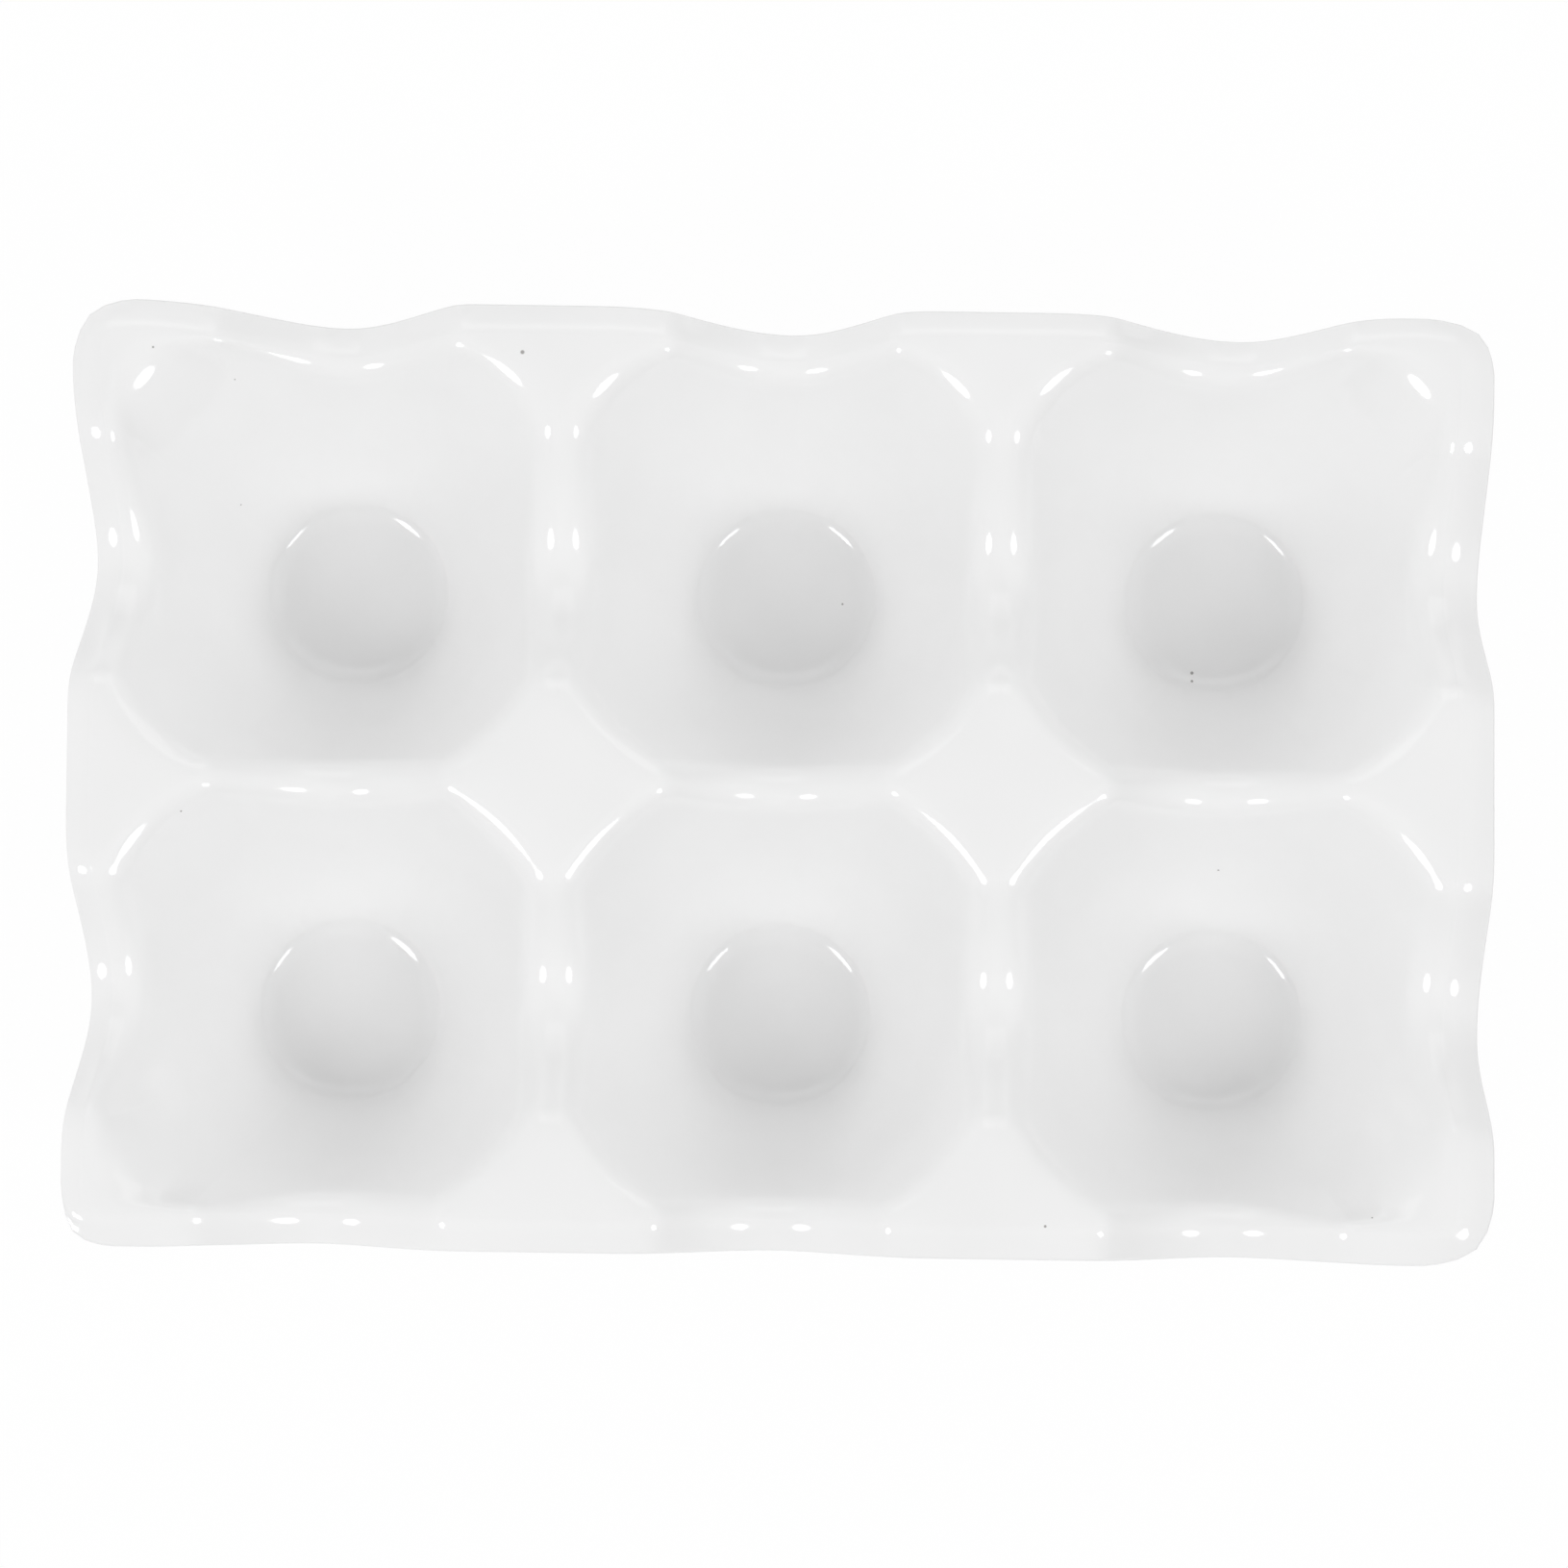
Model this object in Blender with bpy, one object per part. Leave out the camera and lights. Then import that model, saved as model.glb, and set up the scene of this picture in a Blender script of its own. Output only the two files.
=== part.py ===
"""A six-cup egg tray in glazed white porcelain, cast in one piece.

The shell is a grid of conical cups. Neighbouring mouths run into each other, so the walls meet in ridges
that dip between two cups and rise to a flat peak between four. Every ridge is rounded as if a ball had
rolled along it, the rim flares where it rises, and the tray stands on the flat bottoms of its cups.
"""

import math

import bmesh
import bpy
from mathutils import Vector

# Driving dimensions, in metres
COLUMNS = 3
ROWS = 2
PITCH_X = 0.0510
PITCH_Y = 0.0497
TRAY_HEIGHT = 0.0340
WALL = 0.0036
# The flat of a cup's floor, the curve that dishes it, and how far that has turned at the foot of the wall
FLOOR_RADIUS = 0.0080
DISH_RADIUS = 0.0050
DISH_TURN = math.radians(32)
# How far a mouth passes the middle of the longer pitch
MOUTH_OVERLAP = 0.0037
# The underside of a ridge; its top side adds the wall
GROOVE_RADIUS = 0.0009
# How far the rim leans out at its peaks, from which height up, and how much more a corner's mouth opens
RIM_FLARE = 0.0024
FLARE_START = 0.0220
CORNER_OPENING = 0.0020
# The lip's roll, and its straight stretch before the rounded edge
LIP_TURN = math.radians(25)
LIP_REACH = 0.0006

# Facets along each stretch of the surface
RIDGE_STEPS = 3
TURN_STEPS = 1
PEAK_STEPS = 2
DISH_STEPS = 2
CREASE_STEPS = 2
CREST_STEPS = 3
LIP_STEPS = 2
BEAD_STEPS = 4
CORNER_STEPS = 3

# Sizes that follow
HALF_X = PITCH_X / 2
HALF_Y = PITCH_Y / 2
CELL_CORNER = math.atan2(HALF_Y, HALF_X)
RIDGE_RADIUS = WALL + GROOVE_RADIUS
MOUTH_RADIUS = max(HALF_X, HALF_Y) + MOUTH_OVERLAP
PEAK_START = math.acos(HALF_X / MOUTH_RADIUS)
PEAK_END = math.asin(HALF_Y / MOUTH_RADIUS)
PEAK_BALL = TRAY_HEIGHT - RIDGE_RADIUS
FOOT_RADIUS = FLOOR_RADIUS + DISH_RADIUS * math.sin(DISH_TURN)
FOOT_HEIGHT = WALL + DISH_RADIUS * (1 - math.cos(DISH_TURN))
# Shares of the way from a cup's axis to the edge of its cell: where the flare grows, where a corner closes
FLARE_SHARE = 0.6
CORNER_SHARE = 0.17
UP = Vector((0, 0, 1))
MERGE = 0.00001

# The wall is the line from the foot that touches the ball under a peak
SPAN = Vector((MOUTH_RADIUS - FOOT_RADIUS, PEAK_BALL - FOOT_HEIGHT))
SLOPE = math.atan2(SPAN.y, SPAN.x) + math.asin(RIDGE_RADIUS / SPAN.length)


def spread(first, last, steps):
    """Evenly spaced values from first to last."""
    return [first + (last - first) * step / steps for step in range(steps + 1)]


def sheet(mesh, rows):
    """A grid of quads laid through rows of points."""
    grid = bmesh.ops.create_grid(mesh, x_segments=len(rows[0]) - 1, y_segments=len(rows) - 1, size=1)
    points = [point for row in rows for point in row]
    for vertex, point in zip(grid["verts"], points):
        vertex.co = point


def outward(azimuth):
    return Vector((math.cos(azimuth), math.sin(azimuth), 0))


def leaning(azimuth, turn):
    """The upward normal of a surface that has turned up by this angle, going outward."""
    return UP * math.cos(turn) - outward(azimuth) * math.sin(turn)


def ridge_normal(azimuth, across):
    """The upward normal on top of a ridge, where the two walls' normals cancel across it."""
    normal = leaning(azimuth, SLOPE)
    normal[across] = 0
    return normal.normalized()


def quarter_columns():
    """Azimuth and top normal of each column round a quarter cup: X ridge, peak, Y ridge."""
    first_ridge = ridge_normal(PEAK_START, across=0)
    last_ridge = ridge_normal(PEAK_END, across=1)
    columns = [(azimuth, ridge_normal(azimuth, across=0)) for azimuth in spread(0, PEAK_START, RIDGE_STEPS)]
    columns += [(PEAK_START, first_ridge.slerp(UP, turn)) for turn in spread(0, 1, TURN_STEPS)]
    columns += [(azimuth, UP) for azimuth in spread(PEAK_START, CELL_CORNER, PEAK_STEPS)]
    columns += [(azimuth, UP) for azimuth in spread(CELL_CORNER, PEAK_END, PEAK_STEPS)]
    columns += [(PEAK_END, UP.slerp(last_ridge, turn)) for turn in spread(0, 1, TURN_STEPS)]
    columns += [
        (azimuth, ridge_normal(azimuth, across=1)) for azimuth in spread(PEAK_END, math.pi / 2, RIDGE_STEPS)
    ]
    return columns


def column_points(azimuth, top_normal, depth):
    """One column of the skin that lies this deep in the wall, from the cup's axis to the edge of its cell."""
    away = outward(azimuth)
    cell_edge = HALF_X / away.x if azimuth < CELL_CORNER else HALF_Y / away.y
    reach = min(cell_edge, MOUTH_RADIUS)
    dish = away * FLOOR_RADIUS + UP * (WALL + DISH_RADIUS)
    foot = away * FOOT_RADIUS + UP * FOOT_HEIGHT
    ball = away * reach + UP * (PEAK_BALL - (MOUTH_RADIUS - reach) * math.tan(SLOPE))
    points = [UP * (WALL - depth)]
    for turn in spread(0, DISH_TURN, DISH_STEPS):
        points.append(dish - leaning(azimuth, turn) * (DISH_RADIUS + depth))
    for turn in spread(DISH_TURN, SLOPE, CREASE_STEPS):
        points.append(foot - leaning(azimuth, turn) * depth)
    for turn in spread(0, 1, CREST_STEPS):
        points.append(ball + leaning(azimuth, SLOPE).slerp(top_normal, turn) * (RIDGE_RADIUS - depth))
    points.append(points[-1] + away * (cell_edge - reach))
    return points


def flare(point):
    """How far the shell leans out at a point of its upper side: not in the dips, most at the corners."""
    rise = max(0, (point.z - FLARE_START) / (TRAY_HEIGHT - FLARE_START)) ** 2
    beside = Vector((abs(point.x) - (COLUMNS - 1) * HALF_X, abs(point.y) - (ROWS - 1) * HALF_Y, 0))
    lean = Vector((
        RIM_FLARE * min(1, max(0, beside.x) / (FLARE_SHARE * HALF_X)),
        RIM_FLARE * min(1, max(0, beside.y) / (FLARE_SHARE * HALF_Y)),
        0,
    ))
    if beside.x > 0 and beside.y > 0:
        diagonal = (2 * beside.x * beside.y / beside.length_squared) ** 2
        to_edge = 1 - max(beside.x / HALF_X, beside.y / HALF_Y)
        lean += beside.normalized() * CORNER_OPENING * diagonal * min(1, to_edge / CORNER_SHARE)
    return Vector((math.copysign(lean.x, point.x), math.copysign(lean.y, point.y), 0)) * rise


def rim_directions(point):
    """Which ways the lip leaves a point of the grid: none inside, one along a side, a fan at a corner."""
    at_end = math.isclose(abs(point.x), COLUMNS * HALF_X, rel_tol=0.0001)
    at_side = math.isclose(abs(point.y), ROWS * HALF_Y, rel_tol=0.0001)
    end, side = Vector((math.copysign(1, point.x), 0, 0)), Vector((0, math.copysign(1, point.y), 0))
    if at_end and at_side:
        quarter = math.floor(math.atan2(point.y, point.x) / (math.pi / 2)) * math.pi / 2
        return [outward(angle) for angle in spread(quarter, quarter + math.pi / 2, CORNER_STEPS)]
    return [end] if at_end else [side] if at_side else []


def lip_points(top, under, away):
    """The lip's section: out over the top, round its edge and back beneath."""
    normal = (top - under).normalized()
    centre = top - normal * RIDGE_RADIUS
    turned = [normal * math.cos(turn) + away * math.sin(turn) for turn in spread(0, LIP_TURN, LIP_STEPS)]
    ahead = away * math.cos(LIP_TURN) - normal * math.sin(LIP_TURN)
    bead = centre + turned[-1] * (RIDGE_RADIUS - WALL / 2) + ahead * LIP_REACH
    points = [centre + side * RIDGE_RADIUS for side in turned]
    for turn in spread(0, math.pi, BEAD_STEPS):
        points.append(bead + (turned[-1] * math.cos(turn) + ahead * math.sin(turn)) * WALL / 2)
    return points + [centre + side * GROOVE_RADIUS for side in reversed(turned)]


def tray_mesh():
    """The closed shell: the upper side and underside of every quarter cup, and the lip that joins them."""
    shell = bmesh.new()
    rim = {}
    quarters = [(column, row, side_x, side_y)
                for column in range(COLUMNS) for row in range(ROWS) for side_x in (-1, 1) for side_y in (-1, 1)]
    for column, row, side_x, side_y in quarters:
        axis = Vector(((2 * column - COLUMNS + 1) * HALF_X, (2 * row - ROWS + 1) * HALF_Y, 0))
        facing = Vector((side_x, side_y, 1))
        upper, lower = [], []
        for azimuth, top_normal in quarter_columns():
            tops = [axis + facing * point for point in column_points(azimuth, top_normal, 0)]
            unders = [axis + facing * point for point in column_points(azimuth, top_normal, WALL)]
            leans = [flare(point) for point in tops]
            upper.append([point + lean for point, lean in zip(tops, leans)])
            lower.append([point + lean for point, lean in zip(unders, leans)])
            if rim_directions(tops[-1]):
                rim[tops[-1].to_tuple(6)] = (upper[-1][-1], lower[-1][-1])
        turned = side_x * side_y
        sheet(shell, upper[::turned])
        sheet(shell, lower[::-turned])

    lip = []
    for place in sorted(rim, key=lambda spot: math.atan2(spot[1], spot[0])):
        lip += [lip_points(*rim[place], away) for away in rim_directions(Vector(place))]
    sheet(shell, lip + lip[:1])
    bmesh.ops.remove_doubles(shell, verts=shell.verts, dist=MERGE)

    mesh = bpy.data.meshes.new("tray")
    shell.to_mesh(mesh)
    shell.free()
    mesh.shade_smooth()
    return mesh


def porcelain():
    """White body under a clear, glossy glaze."""
    material = bpy.data.materials.new("glazed white porcelain")
    material.use_nodes = True
    shader = material.node_tree.nodes["Principled BSDF"]
    shader.inputs["Base Color"].default_value = (0.84, 0.84, 0.83, 1)
    shader.inputs["Roughness"].default_value = 0.08
    shader.inputs["Metallic"].default_value = 0
    return material


for leftover in list(bpy.data.objects):
    bpy.data.objects.remove(leftover)

egg_tray = bpy.data.collections.new("egg tray")
bpy.context.scene.collection.children.link(egg_tray)
tray = bpy.data.objects.new("tray", tray_mesh())
tray.data.materials.append(porcelain())
egg_tray.objects.link(tray)
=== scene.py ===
import math

import bmesh
import bpy
from mathutils import Matrix, Vector


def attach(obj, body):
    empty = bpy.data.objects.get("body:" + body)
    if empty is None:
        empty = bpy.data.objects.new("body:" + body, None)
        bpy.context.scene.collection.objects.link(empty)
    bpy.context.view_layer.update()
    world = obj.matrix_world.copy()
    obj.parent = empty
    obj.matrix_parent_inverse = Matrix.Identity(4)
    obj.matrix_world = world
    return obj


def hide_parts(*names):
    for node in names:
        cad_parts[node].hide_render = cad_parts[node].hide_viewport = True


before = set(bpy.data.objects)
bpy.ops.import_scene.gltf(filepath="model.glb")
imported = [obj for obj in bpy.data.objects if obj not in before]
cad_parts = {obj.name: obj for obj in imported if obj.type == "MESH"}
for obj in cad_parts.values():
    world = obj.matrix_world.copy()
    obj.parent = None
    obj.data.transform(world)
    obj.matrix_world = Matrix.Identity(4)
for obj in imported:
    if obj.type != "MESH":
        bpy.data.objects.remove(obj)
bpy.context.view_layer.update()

# The tray is one slip-cast porcelain shell: conical cups in a grid, whose mouths run into each other
# along rounded ridges. It is modelled as by hand: a cup grows ring by ring out of its floor, is repeated
# over the grid, gets its lip, and is then given the thickness of the cast wall.
MM = 0.001
columns, rows = 3, 2
pitch_x, pitch_y = 51.0 * MM, 49.7 * MM
half_x, half_y = pitch_x / 2, pitch_y / 2
tray_height = 34.0 * MM
wall = 3.6 * MM
floor_radius = 8.0 * MM
dish_radius = 5.0 * MM
dish_turn = math.radians(32)
foot_radius = floor_radius + dish_radius * math.sin(dish_turn)
foot_height = wall + dish_radius * (1 - math.cos(dish_turn))
wall_slope = math.radians(61.6)
flare_start = 22 * MM
weld = 0.02 * MM
up = Vector((0, 0, 1))

# Every ridge is rounded as if a ball had rolled along it, a larger one between two columns than between
# two rows. Where the ball reaches the height of the peaks, it turns and follows the mouth of the cup.
side_ball, end_ball = 5.0 * MM, 3.4 * MM


def mouth_reach(ball_radius):
    """How far from the cup's axis a ball touches the wall when its top is as high as the peaks."""
    rise = tray_height - ball_radius - foot_height
    return foot_radius + rise / math.tan(wall_slope) + ball_radius / math.sin(wall_slope)


# A quarter of a cup goes from a ridge between columns over half a peak to a ridge between rows. At the tip
# where ridge and peak meet, the crest turns within a degree or so on either side.
peak_start = math.acos(half_x / mouth_reach(side_ball))
peak_end = math.asin(half_y / mouth_reach(end_ball))
peak_corner = math.atan2(half_y, half_x)
near_corner = math.radians(2.8)
tip_turns = [
    (math.radians(turn), share) for turn, share in ((-0.8, 0), (-0.27, 0.33), (0.27, 0.67), (0.8, 1))]
before_tip, after_tip = tip_turns[0][0], tip_turns[-1][0]
ridge_steps, peak_steps = 6, 3

# Rings of a cup: shares of the flat floor and of the straight wall, and steps round the dish and the crest
floor_ring = 0.5
wall_rings = (0.03, 0.45, 0.8)
dish_steps, crest_steps = 3, 5


def spread(first, last, steps):
    """Evenly spaced values from the first to the last."""
    return [first + (last - first) * step / steps for step in range(steps + 1)]


def quarter_columns():
    """Directions round a quarter of a cup, each with how far it is from ridge (0) to peak (1)."""
    found = [(azimuth, 0) for azimuth in spread(0, peak_start + before_tip, ridge_steps)[:-1]]
    found += [(peak_start + turn, share) for turn, share in tip_turns]
    rising = spread(peak_start + after_tip, peak_corner - near_corner, peak_steps)
    falling = spread(peak_corner + near_corner, peak_end - after_tip, peak_steps)
    found += [(azimuth, 1) for azimuth in rising[1:] + [peak_corner] + falling[:-1]]
    found += [(peak_end - turn, share) for turn, share in reversed(tip_turns)]
    return found + [(azimuth, 0) for azimuth in spread(peak_end - before_tip, math.pi / 2, ridge_steps)[1:]]


def cup_section(azimuth, peak_share, mirror_x, mirror_y):
    """Points up one side of a cup to the edge of its cell, each with its share of the rim's lean."""
    away = Vector((math.cos(azimuth), math.sin(azimuth), 0))
    on_side = azimuth < peak_corner
    cell_edge = half_x / away.x if on_side else half_y / away.y
    turned = min(1, max(0, (azimuth - peak_start) / (peak_end - peak_start)))
    ball_radius = side_ball + (end_ball - side_ball) * turned
    peak_reach = mouth_reach(ball_radius)
    reach = min(cell_edge, peak_reach)
    foot = away * foot_radius + up * foot_height
    ball = away * reach + up * (tray_height - ball_radius - (peak_reach - reach) * math.tan(wall_slope))
    wall_side = up * math.cos(wall_slope) - away * math.sin(wall_slope)
    ridge_top = wall_side.copy()
    ridge_top[0 if on_side else 1] = 0
    top_side = ridge_top.normalized().slerp(up, peak_share)

    points = [away * floor_radius * floor_ring + up * wall]
    dish = away * floor_radius + up * (wall + dish_radius)
    for turn in spread(0, dish_turn, dish_steps):
        points.append(dish + (away * math.sin(turn) - up * math.cos(turn)) * dish_radius)
    crest_turns = spread(0, 1, crest_steps)
    crest = [ball + wall_side.slerp(top_side, turn) * ball_radius for turn in crest_turns]
    points += [foot.lerp(crest[0], share) for share in wall_rings]
    flare_height = ball.z + ball_radius - flare_start
    rises = [max(0, (point.z - flare_start) / flare_height) ** 2 for point in points + crest[:1]]
    rises += [rises[-1] + (1 - rises[-1]) * turn for turn in crest_turns[1:]] + [1]
    points += crest + [crest[-1] + away * (cell_edge - reach)]
    mirrored = [Vector((point.x * mirror_x, point.y * mirror_y, point.z)) for point in points]
    return list(zip(mirrored, rises))


first_cup = Vector((-half_x * (columns - 1), -half_y * (rows - 1), 0))
quarter = quarter_columns()
sections = [cup_section(*column, 1, 1) for column in quarter]
sections += [cup_section(*column, -1, 1) for column in reversed(quarter[:-1])]
sections += [cup_section(*column, -1, -1) for column in quarter[1:]]
sections += [cup_section(*column, 1, -1) for column in reversed(quarter[1:-1])]

bpy.ops.object.select_all(action="DESELECT")
bpy.ops.mesh.primitive_circle_add(vertices=len(sections), radius=floor_radius, fill_type="NGON")
shell = bpy.context.object
shell.name = "tray_shell"
shell.data.attributes.new("side", "INT", "POINT")
shell.data.attributes.new("rise", "FLOAT", "POINT")
for index, vertex in enumerate(shell.data.vertices):
    shell.data.attributes["side"].data[index].value = index
    vertex.co = first_cup + sections[index][0][0]
bpy.ops.object.mode_set(mode="EDIT")
bpy.ops.mesh.select_mode(type="EDGE")
bpy.ops.mesh.select_all(action="SELECT")
bpy.ops.mesh.region_to_loop()
for ring in range(1, len(sections[0])):
    bpy.ops.mesh.extrude_edges_move()
    grown = bmesh.from_edit_mesh(shell.data)
    side, rise = grown.verts.layers.int["side"], grown.verts.layers.float["rise"]
    for vertex in grown.verts:
        if vertex.select:
            point, vertex[rise] = sections[vertex[side]][ring]
            vertex.co = first_cup + point
    bmesh.update_edit_mesh(shell.data)
bpy.ops.mesh.select_all(action="SELECT")
bpy.ops.mesh.remove_doubles(threshold=weld)
bpy.ops.mesh.normals_make_consistent(inside=False)
bpy.ops.object.mode_set(mode="OBJECT")
shell.data.attributes.remove(shell.data.attributes["side"])

for count, step in ((columns, (pitch_x, 0, 0)), (rows, (0, pitch_y, 0))):
    array = shell.modifiers.new("cups", "ARRAY")
    array.count = count
    array.use_relative_offset = False
    array.use_constant_offset = True
    array.constant_offset_displace = step
    array.use_merge_vertices = True
    array.merge_threshold = weld
    bpy.ops.object.modifier_apply(modifier=array.name)

# The rim leans outward where it rises and ends in a short lip. No two sides came out of the kiln alike, so
# each has its lean at the peaks, the lip's straight stretch and how much that changes along the side, how
# far the dips have moved along it, and how long they are on either hand.
end_x, end_y = half_x * columns, half_y * rows
rim_sides = {
    "left": {
        "lean": 2.3 * MM, "lip": 0.76 * MM, "change": 0.012, "dip": 0,
        "flanks": (17 * MM, 20 * MM)},
    "right": {
        "lean": 1.4 * MM, "lip": 2.4 * MM, "change": -0.005, "dip": -3.5 * MM,
        "flanks": (12 * MM, 22 * MM)},
    "back": {
        "lean": 1.95 * MM, "lip": 2.2 * MM, "change": -0.007, "dip": 1.7 * MM,
        "flanks": (22 * MM, 15 * MM)},
    "front": {
        "lean": 0.5 * MM, "lip": 2.5 * MM, "change": 0.002, "dip": 0,
        "flanks": (17 * MM, 17 * MM)},
}
dip_drift = 0.03
front_peak_lip = 0.4 * MM

# Rings of the lip: how far each has turned down from the crest, and its share of the straight stretch
lip_turn = math.radians(25)
first_turn = 0.02
lip_rings = [
    (first_turn, 0), (lip_turn / 2, 0), (lip_turn, 0),
    (lip_turn, 0.5), (lip_turn, 0.85), (lip_turn, 1),
]

# The lean sets in and is complete at these shares of the way from a cup's middle to its side. The mouths
# also open a little wider at the corners, the peaks and the tips of the back row. That opening closes again
# in the last stretch before the edge of the cell.
lean_from, lean_full = 0.2, 0.65
corner_opening, peak_opening, tip_opening = 4.0 * MM, 0.6 * MM, 1.5 * MM
tip_flank = 17 * MM
opening_stretch = 0.17

# A square corner would end this far past the outermost ridges, and is rounded off.
corner_round = 5.5 * MM
corner_past_x, corner_past_back, corner_past_front = 5.6 * MM, 5.4 * MM, 4.5 * MM


def from_cup(place, pitch, count):
    """A place's distance from the nearest cup's middle, and whether that side of the cup is the rim."""
    cup = min(count - 1, max(0, math.floor(place / pitch + count / 2)))
    beside = place - (cup - (count - 1) / 2) * pitch
    return beside, cup == (count - 1 if beside > 0 else 0)


def ease(value, first, last):
    """From 0 at the first value to 1 at the last, with a soft start and end."""
    share = min(1, max(0, (value - first) / (last - first)))
    return share ** 2 * (3 - 2 * share)


def swing(side, place, beside):
    """How far a side of the rim has risen from the middle of a dip (0) to a peak (1)."""
    from_dip = beside - side["dip"] - dip_drift * (place - beside)
    return ease(abs(from_dip), 0, side["flanks"][1 if from_dip > 0 else 0])


def flare_at(point, rise):
    """How far the rim leans outward at a point: not at all in the dips, most at the corners."""
    beside_x, at_end = from_cup(point.x, pitch_x, columns)
    beside_y, at_side = from_cup(point.y, pitch_y, rows)
    share_x, share_y = abs(beside_x) / half_x, abs(beside_y) / half_y
    lean_x = lean_y = opening = 0
    if at_end:
        side = rim_sides["right" if point.x > 0 else "left"]
        lean_x = side["lean"] * swing(side, point.y, beside_y) * ease(share_x, lean_from, lean_full)
        opening = peak_opening
    if at_side:
        side = rim_sides["back" if point.y > 0 else "front"]
        lean_y = side["lean"] * swing(side, point.x, beside_x) * ease(share_y, lean_from, lean_full)
        opening = corner_opening if at_end else peak_opening if point.y > 0 else 0
    if at_side and point.y > 0 and not at_end:
        tip = ease(share_y, lean_from, lean_full) * (1 - ease(share_y, lean_full, 1))
        lean_y += tip_opening * ease(abs(beside_x), 0, tip_flank) * tip
    reach = max(weld, math.hypot(beside_x, beside_y))
    to_edge = max(0, 1 - max(share_x, share_y))
    opening *= (2 * beside_x * beside_y / reach ** 2) ** 2 * min(1, to_edge / opening_stretch)
    lean_x += opening * abs(beside_x) / reach
    lean_y += opening * abs(beside_y) / reach
    return Vector((math.copysign(lean_x, beside_x), math.copysign(lean_y, beside_y), 0)) * rise


def lip_step(point, turn, share):
    """Where a point of the outermost ridge goes when the lip is drawn out from it."""
    moved = point + flare_at(point, 1)
    drops = []
    if abs(point.x) > end_x - weld:
        side = rim_sides["right" if point.x > 0 else "left"]
        ahead = (side["lip"] + side["change"] * point.y) * share
        moved.x += math.copysign(side_ball * math.sin(turn) + ahead * math.cos(turn), point.x)
        drops.append(side_ball * (1 - math.cos(turn)) + ahead * math.sin(turn))
    if abs(point.y) > end_y - weld:
        side = rim_sides["back" if point.y > 0 else "front"]
        ahead = (side["lip"] + side["change"] * point.x) * share
        if point.y < 0:
            ahead += front_peak_lip * share * swing(side, point.x, from_cup(point.x, pitch_x, columns)[0])
        moved.y += math.copysign(end_ball * math.sin(turn) + ahead * math.cos(turn), point.y)
        drops.append(end_ball * (1 - math.cos(turn)) + ahead * math.sin(turn))
    return moved - up * sum(drops) / len(drops)


def rounded(point):
    """A point of a square corner of the tray, drawn in to a round one."""
    corner_past_y = corner_past_back if point.y > 0 else corner_past_front
    past_x = abs(point.x) - (end_x + corner_past_x - corner_round)
    past_y = abs(point.y) - (end_y + corner_past_y - corner_round)
    if min(past_x, past_y) <= 0:
        return point
    pull = 1 - max(past_x, past_y) / math.hypot(past_x, past_y)
    return point - Vector((math.copysign(past_x, point.x), math.copysign(past_y, point.y), 0)) * pull


bpy.ops.object.mode_set(mode="EDIT")
bpy.ops.mesh.select_mode(type="EDGE")
bpy.ops.mesh.select_all(action="SELECT")
bpy.ops.mesh.remove_doubles(threshold=weld)
bpy.ops.mesh.select_all(action="SELECT")
bpy.ops.mesh.region_to_loop()
grown = bmesh.from_edit_mesh(shell.data)
rim_x, rim_y, rim_z = (grown.verts.layers.float.new(name) for name in ("rim_x", "rim_y", "rim_z"))
for vertex in grown.verts:
    vertex[rim_x], vertex[rim_y], vertex[rim_z] = vertex.co
bmesh.update_edit_mesh(shell.data)
for turn, share in lip_rings:
    bpy.ops.mesh.extrude_edges_move()
    grown = bmesh.from_edit_mesh(shell.data)
    rim_x, rim_y, rim_z = (grown.verts.layers.float[name] for name in ("rim_x", "rim_y", "rim_z"))
    for vertex in grown.verts:
        if vertex.select:
            crest = Vector((vertex[rim_x], vertex[rim_y], vertex[rim_z]))
            vertex.co = lip_step(crest, turn, share)
    bmesh.update_edit_mesh(shell.data)

# What is still where it was cast gets its lean, and the corners are rounded.
unmoved = weld / 100
rise = grown.verts.layers.float["rise"]
for vertex in grown.verts:
    cast_at = Vector((vertex[rim_x], vertex[rim_y], vertex[rim_z]))
    if (cast_at - vertex.co).length < unmoved:
        vertex.co += flare_at(cast_at, vertex[rise])
    vertex.co = rounded(vertex.co)
bmesh.update_edit_mesh(shell.data)
bpy.ops.mesh.select_all(action="SELECT")
bpy.ops.mesh.remove_doubles(threshold=weld)
bpy.ops.mesh.normals_make_consistent(inside=False)
bpy.ops.object.mode_set(mode="OBJECT")
for name in ("rise", "rim_x", "rim_y", "rim_z"):
    shell.data.attributes.remove(shell.data.attributes[name])

# The wall grows downward from here, so the floors of the cups have to face up.
floor_face = min(shell.data.polygons, key=lambda face: face.center.z)
if floor_face.normal.z < 0:
    shell.data.flip_normals()

# The slip settles a little thinner over the ridges than on the walls and floors, and the mould left the
# underside of the ridges softly rounded, up to the edge of the lip.
ridge_facing, ridge_thinning = 0.5, 0.4
rounded_from, rounded_full = 10 * MM, 18 * MM
cast = shell.vertex_groups.new(name="cast wall")
for vertex in shell.data.vertices:
    over_ridge = max(0, vertex.normal.z - ridge_facing) if vertex.co.z > tray_height / 2 else 0
    cast.add([vertex.index], 1 - ridge_thinning * over_ridge, "REPLACE")
thickness = shell.modifiers.new("cast wall", "SOLIDIFY")
thickness.thickness = wall
thickness.offset = -1
thickness.vertex_group = cast.name
thickness.shell_vertex_group = shell.vertex_groups.new(name="underside").name
bpy.ops.object.modifier_apply(modifier=thickness.name)
underside = shell.vertex_groups["underside"]
beneath = {vertex.index for vertex in shell.data.vertices
           if underside.index in [entry.group for entry in vertex.groups]}
for index in beneath:
    above_table = shell.data.vertices[index].co.z
    underside.add([index], ease(above_table, rounded_from, rounded_full), "REPLACE")
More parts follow.
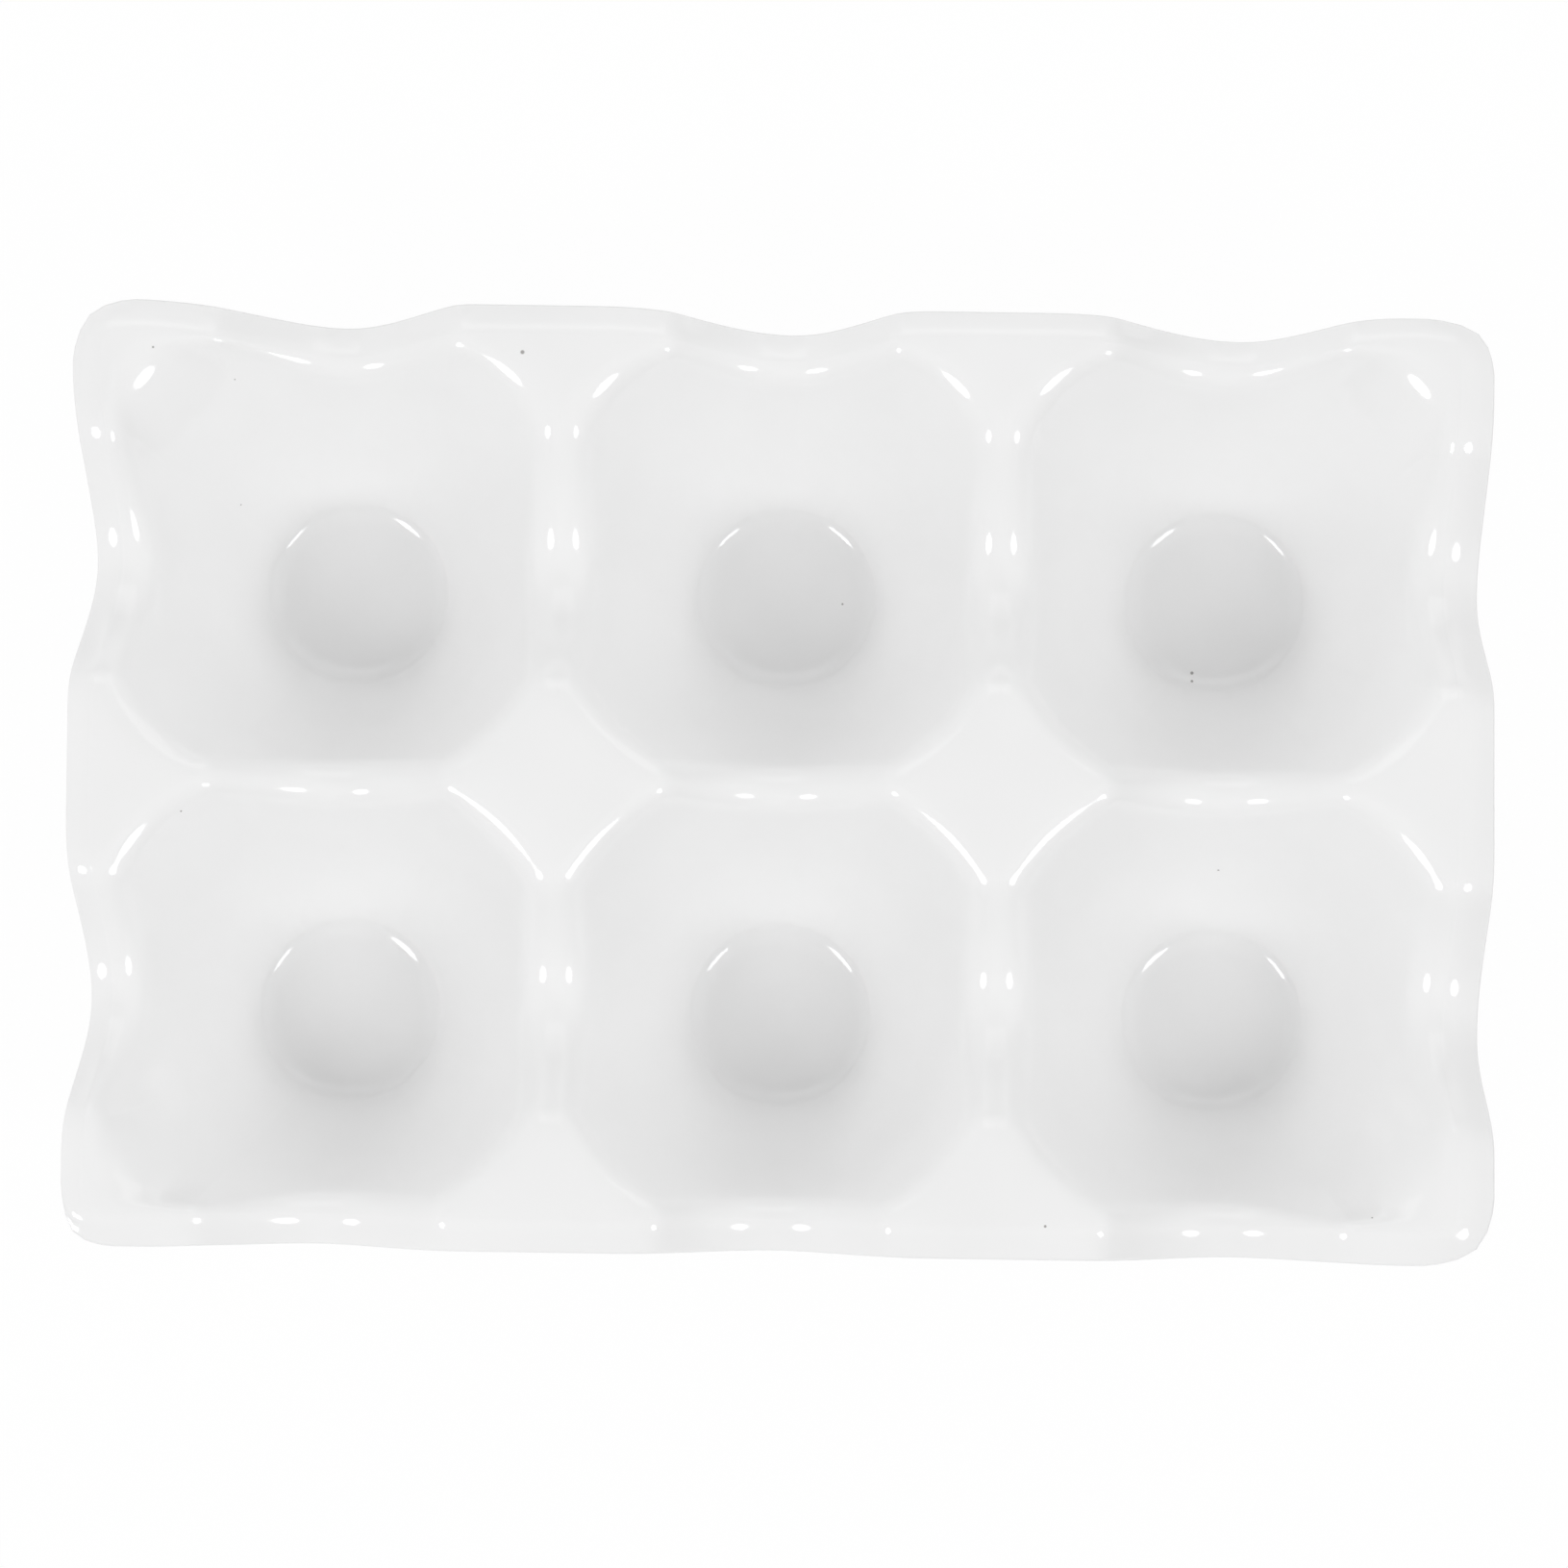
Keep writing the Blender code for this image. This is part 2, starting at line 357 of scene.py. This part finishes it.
for edge in shell.data.edges:
    at_lip = beneath.intersection(edge.vertices)
    if len(at_lip) == 1:
        underside.remove(list(at_lip))
rounding = shell.modifiers.new("mould", "SMOOTH")
rounding.factor = 0.5
rounding.iterations = 60
rounding.vertex_group = underside.name
bpy.ops.object.modifier_apply(modifier=rounding.name)
shell.vertex_groups.clear()
smooth = shell.modifiers.new("fettled and glazed", "SUBSURF")
smooth.levels = smooth.render_levels = 1
smooth.use_limit_surface = False
bpy.ops.object.modifier_apply(modifier=smooth.name)
bpy.ops.object.shade_smooth()


def linear(hex_colour):
    """An sRGB hex value as the linear colour that a shader takes."""
    values = [int(hex_colour[place:place + 2], 16) / 255 for place in (1, 3, 5)]
    return [
        value / 12.92 if value <= 0.04045 else ((value + 0.055) / 1.055) ** 2.4 for value in values] + [1]


def add_node(tree, kind, settings, inputs):
    """A node with its settings, the values of its sockets, and links to other nodes' outputs."""
    made = tree.nodes.new(kind)
    for name, value in settings.items():
        setattr(made, name, value)
    for socket, value in inputs.items():
        if isinstance(value, bpy.types.NodeSocket):
            tree.links.new(value, made.inputs[socket])
        else:
            made.inputs[socket].default_value = value
    return made


# Hard porcelain, white and faintly uneven in tone, under a clear glaze that was dipped on and melted in
# the kiln: a sharp gloss, slow waves that make the highlights swim, and a few pinholes, whose pits are
# painted shade: grey dots with no depth. The feet were wiped before the firing, so the flat under each cup
# is bare, matt and a little warmer than the glaze.
glaze = bpy.data.materials.new("clear glossy glaze on white porcelain")
glaze.use_nodes = True
shader = glaze.node_tree.nodes["Principled BSDF"]
shader.inputs["IOR"].default_value = 1.5
tone_patch = 16 * MM
place = add_node(glaze.node_tree, "ShaderNodeTexCoord", {}, {}).outputs["Object"]
uneven = add_node(glaze.node_tree, "ShaderNodeTexNoise", {}, {
    "Vector": place, "Scale": 1 / tone_patch, "Detail": 2})
body = add_node(glaze.node_tree, "ShaderNodeMix", {"data_type": "RGBA"}, {
    "Factor": uneven.outputs["Fac"], 6: linear("#f4f4f4"), 7: linear("#fafafa")})

# Places of the pinholes over the tray, in millimetres from its middle, and how wide each is. Each pit is
# painted as a grey dot of shade, since the mesh has no hole there. The dot is full to the first share of
# its width and has faded out at the second.
pinholes = [
    (-30.0, 49.4, 0.50), (-72.7, 49.6, 0.28), (48.5, 16.5, 0.42), (48.5, 15.5, 0.36), (51.3, -8.0, 0.28),
    (31.2, -50.3, 0.34), (68.3, -48.8, 0.24), (-63.7, 46.7, 0.20), (-64.2, 34.0, 0.20), (-68.4, -4.0, 0.26),
    (6.8, 24.3, 0.26),
]
hole_open, hole_faded = 0.3, 0.6
painted_pit_shade = None
for hole_x, hole_y, width in pinholes:
    on_glaze = shell.ray_cast((hole_x * MM, hole_y * MM, 2 * tray_height), -up)[1]
    away = add_node(glaze.node_tree, "ShaderNodeVectorMath", {"operation": "DISTANCE"}, {
        0: place, 1: on_glaze})
    inside = add_node(glaze.node_tree, "ShaderNodeMapRange", {}, {
        "Value": away.outputs["Value"],
        "From Min": hole_faded * width * MM, "From Max": hole_open * width * MM})
    if painted_pit_shade is None:
        painted_pit_shade = inside.outputs["Result"]
    else:
        painted_pit_shade = add_node(glaze.node_tree, "ShaderNodeMath", {"operation": "MAXIMUM"}, {
            0: painted_pit_shade, 1: inside.outputs["Result"]}).outputs[0]
# The grey of each dot is painted shade inside the pit, mixed over the glaze.
glaze_with_painted_pit_shade = add_node(glaze.node_tree, "ShaderNodeMix", {"data_type": "RGBA"}, {
    "Factor": painted_pit_shade, 6: body.outputs[2], 7: linear("#aaa8a6")})

# The glaze ends about a third of a millimetre above the table.
glazed_from, bare_below = 0.36 * MM, 0.28 * MM
smoothest, glossy, matt = 0.06, 0.10, 0.75
height = add_node(glaze.node_tree, "ShaderNodeSeparateXYZ", {}, {0: place})
bare = add_node(glaze.node_tree, "ShaderNodeMapRange", {}, {
    "Value": height.outputs["Z"], "From Min": glazed_from, "From Max": bare_below})
footed = add_node(glaze.node_tree, "ShaderNodeMix", {"data_type": "RGBA"}, {
    "Factor": bare.outputs["Result"], 6: glaze_with_painted_pit_shade.outputs[2], 7: linear("#e9e5dc")})
glaze.node_tree.links.new(footed.outputs[2], shader.inputs["Base Color"])
gloss = add_node(glaze.node_tree, "ShaderNodeMapRange", {}, {
    "Value": uneven.outputs["Fac"], "To Min": smoothest, "To Max": glossy})
roughness = add_node(glaze.node_tree, "ShaderNodeMix", {"data_type": "FLOAT"}, {
    "Factor": bare.outputs["Result"], 2: gloss.outputs["Result"], 3: matt})
glaze.node_tree.links.new(roughness.outputs[0], shader.inputs["Roughness"])

# The glaze's waves are about 9 mm long and a few hundredths of a millimetre high.
wave_length, wave_height = 9 * MM, 0.05 * MM
waves = add_node(glaze.node_tree, "ShaderNodeTexNoise", {}, {
    "Vector": place, "Scale": 1 / wave_length, "Detail": 1})
swimming = add_node(glaze.node_tree, "ShaderNodeBump", {}, {
    "Height": waves.outputs["Fac"], "Distance": wave_height})
glaze.node_tree.links.new(swimming.outputs[0], shader.inputs["Normal"])
shell.data.materials.append(glaze)
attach(shell, "root")
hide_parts("tray")

# The floor is a plain sheet of white paper, which the camera and reflections see as white but for a trace
# of the tray's shadow.
white_share = 0.97
bpy.ops.object.select_all(action="DESELECT")
bpy.ops.mesh.primitive_plane_add(size=6, location=(0, 0, 0))
ground = bpy.context.object
ground.name = "floor_sheet"
paper = bpy.data.materials.new("matt white paper")
paper.use_nodes = True
sheet = paper.node_tree.nodes["Principled BSDF"]
sheet.inputs["Base Color"].default_value = linear("#f8f8f8")
sheet.inputs["Roughness"].default_value = 0.9
ray = add_node(paper.node_tree, "ShaderNodeLightPath", {}, {}).outputs
seen = add_node(paper.node_tree, "ShaderNodeMath", {}, {0: ray["Is Camera Ray"], 1: ray["Is Glossy Ray"]})
seen = add_node(paper.node_tree, "ShaderNodeMath", {}, {0: seen.outputs[0], 1: ray["Is Transmission Ray"]})
share = add_node(paper.node_tree, "ShaderNodeMath", {"operation": "MULTIPLY"}, {
    0: seen.outputs[0], 1: white_share})
white = add_node(paper.node_tree, "ShaderNodeEmission", {}, {"Strength": 1})
mixed = add_node(paper.node_tree, "ShaderNodeMixShader", {}, {
    0: share.outputs[0], 1: sheet.outputs[0], 2: white.outputs[0]})
paper.node_tree.links.new(mixed.outputs[0], paper.node_tree.nodes["Material Output"].inputs[0])
ground.data.materials.append(paper)

# The light is a white tent, evenly lit but for soft panels on its sides and a darker gap at its back. Each
# is given by its middle, the cosines between which it grows from nothing to its strength, and the strength.
# Two softboxes stand in front of the tray, and a wide one hangs close above its back.
tent_glow = 0.25
tent_panels = [
    ((-1, 0, 0), (0.4, 1), 0.605),
    ((-0.75, 0, 0.66), (0.7, 1), 0.15),
    ((0.75, 0, 0.66), (0.7, 1), 0.78),
    ((0, -0.75, 0.66), (0.7, 1), 0.32),
    ((0, -0.3, 0.95), (0.85, 1), 0.28),
    ((0, 1, 0), (0.4, 1), 0.78),
    ((0, 1, 0.05), (0.85, 1), 0.68),
    ((0, 0.9, 0.44), (0.92, 0.985), -0.9),
]
softboxes = [
    ("softbox_left", "DISK", (-0.661, -0.554, 0.834), (0.34, 0.34), 2.86),
    ("softbox_right", "DISK", (0.661, -0.554, 0.834), (0.34, 0.34), 2.19),
    ("softbox_back", "RECTANGLE", (0, 0.40, 0.40), (0.50, 0.30), 0.365),
]
world = bpy.data.worlds.new("white tent")
bpy.context.scene.world = world
world.use_nodes = True
tent = world.node_tree.nodes["Background"]
tent.inputs["Color"].default_value = (1, 1, 1, 1)
outward = add_node(world.node_tree, "ShaderNodeTexCoord", {}, {}).outputs["Generated"]
brightness = tent_glow
for middle, (fade, full), strength in tent_panels:
    along = add_node(world.node_tree, "ShaderNodeVectorMath", {"operation": "DOT_PRODUCT"}, {
        0: outward, 1: Vector(middle).normalized()})
    panel = add_node(world.node_tree, "ShaderNodeMapRange", {}, {
        "Value": along.outputs["Value"], "From Min": fade, "From Max": full, "To Max": strength})
    brightness = add_node(world.node_tree, "ShaderNodeMath", {}, {
        0: brightness, 1: panel.outputs["Result"]}).outputs[0]
world.node_tree.links.new(brightness, tent.inputs["Strength"])
for name, shape, stands, (width, depth), energy in softboxes:
    bpy.ops.object.light_add(type="AREA", location=stands)
    softbox = bpy.context.object
    softbox.name = name
    softbox.data.shape = shape
    softbox.data.size, softbox.data.size_y = width, depth
    softbox.data.energy = energy
    softbox.rotation_euler = Vector(stands).to_track_quat("Z", "Y").to_euler()
    softbox.visible_camera = False

# The camera looks down from just in front, as in the photograph, which is 1631 pixels square.
frame_pixels = 1631
focal_pixels = 6857
sensor_width = 36
distance = 773 * MM
tilt, side_turn, roll = (math.radians(angle) for angle in (-5.412, -1.252, -0.802))
aim = Vector((0.391, 1.592, 15)) * MM
turned = Matrix.Rotation(tilt, 3, "X") @ Matrix.Rotation(side_turn, 3, "Y") @ Matrix.Rotation(roll, 3, "Z")
stand = turned.transposed().to_4x4()
stand.translation = aim + turned.transposed() @ (up * distance)
camera = bpy.data.objects.new("camera", bpy.data.cameras.new("camera"))
bpy.context.scene.collection.objects.link(camera)
camera.matrix_world = stand
camera.data.sensor_width = sensor_width
camera.data.lens = sensor_width * focal_pixels / frame_pixels
bpy.context.scene.camera = camera

bpy.context.scene.view_settings.view_transform = "Standard"
